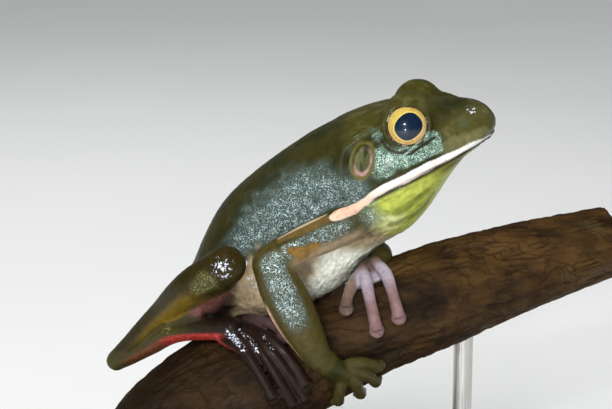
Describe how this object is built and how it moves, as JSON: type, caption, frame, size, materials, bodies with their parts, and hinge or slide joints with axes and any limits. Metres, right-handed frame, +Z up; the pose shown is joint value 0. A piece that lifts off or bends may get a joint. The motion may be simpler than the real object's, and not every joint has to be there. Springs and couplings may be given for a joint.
{
  "type": "white-lipped tree frog model",
  "caption": "Still life-size model of a white-lipped tree frog with its head raised, gripping a short cut branch that short rods hold above a flat display base.",
  "frame": {"origin": "centre of the display base's underside", "axes": "+X forward along the frog and the long side of the base, +Y to the frog's left, +Z up"},
  "size_m": [0.158, 0.104, 0.1302],
  "materials": {
    "back_skin": "moist olive-brown skin, finely granular with a pale wet glint",
    "pale_skin": "moist yellow-green to cream throat skin",
    "limb_skin": "moist golden-olive limb skin",
    "digit_skin": "moist maroon to pale pink digits",
    "eardrum": "thin satin membrane",
    "eye": "clear gloss over a gold iris and a blue-black pupil",
    "bark": "rough damp dark brown bark with sawn ends",
    "stand_wood": "dark satin stained wood",
    "rod_steel": "satin steel"
  },
  "bodies": {
    "root": {"head": "back_skin", "lower_jaw": "pale_skin", "torso": "back_skin", "eye_right": "eye", "eardrum_right": "eardrum", "upper_arm_right": "limb_skin", "forearm_right": "limb_skin", "thigh_right": "limb_skin", "shank_right": "limb_skin", "hand_right": "digit_skin", "foot_right": "digit_skin", "eye_left": "eye", "eardrum_left": "eardrum", "upper_arm_left": "limb_skin", "forearm_left": "limb_skin", "thigh_left": "limb_skin", "shank_left": "limb_skin", "hand_left": "digit_skin", "foot_left": "digit_skin", "perch_branch": "bark", "stand_base": "stand_wood", "stand_rod_1": "rod_steel", "stand_rod_2": "rod_steel"}
  },
  "joints": []
}
